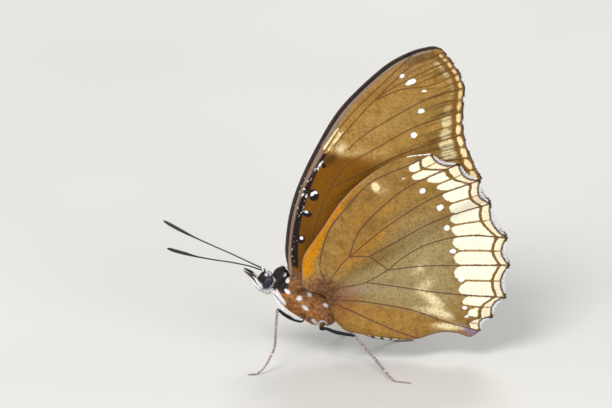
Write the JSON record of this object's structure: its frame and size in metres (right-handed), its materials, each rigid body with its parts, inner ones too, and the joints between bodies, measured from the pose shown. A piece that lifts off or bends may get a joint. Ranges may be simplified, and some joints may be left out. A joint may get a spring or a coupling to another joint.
{
  "type": "great eggfly butterfly model",
  "caption": "Life-size butterfly standing with closed, veined, scalloped wings, furry body, clubbed antennae, coiled tongue and slender legs.",
  "frame": {"origin": "on the floor, under the middle of the whole insect's box", "axes": "head towards -X, animal's left towards -Y, up +Z"},
  "size_m": [0.0538, 0.021, 0.0518],
  "materials": {
    "body_fur": "short orange-brown fur with white spots",
    "head_fur": "short dark fur with white marks",
    "eye": "glossy, finely faceted",
    "feeler": "satin black, ringed",
    "abdomen_fur": "short dark fur with white spots",
    "leg": "scaled, satin",
    "foreleg": "white brush of hair",
    "forewing": "matte wing scales, brown with pale marks",
    "hindwing": "matte wing scales, olive brown with a cream band",
    "tongue": "satin brown"
  },
  "bodies": {
    "root": {"head": "head_fur", "eye_left": "eye", "eye_right": "eye", "palp_left": "head_fur", "palp_right": "head_fur", "proboscis": "tongue", "antenna_left": "feeler", "antenna_right": "feeler", "thorax": "body_fur", "abdomen": "abdomen_fur", "forewing_left": "forewing", "forewing_right": "forewing", "hindwing_left": "hindwing", "hindwing_right": "hindwing", "foreleg_left": "foreleg", "foreleg_right": "foreleg", "midleg_left": "leg", "midleg_right": "leg", "hindleg_left": "leg", "hindleg_right": "leg"}
  },
  "joints": []
}
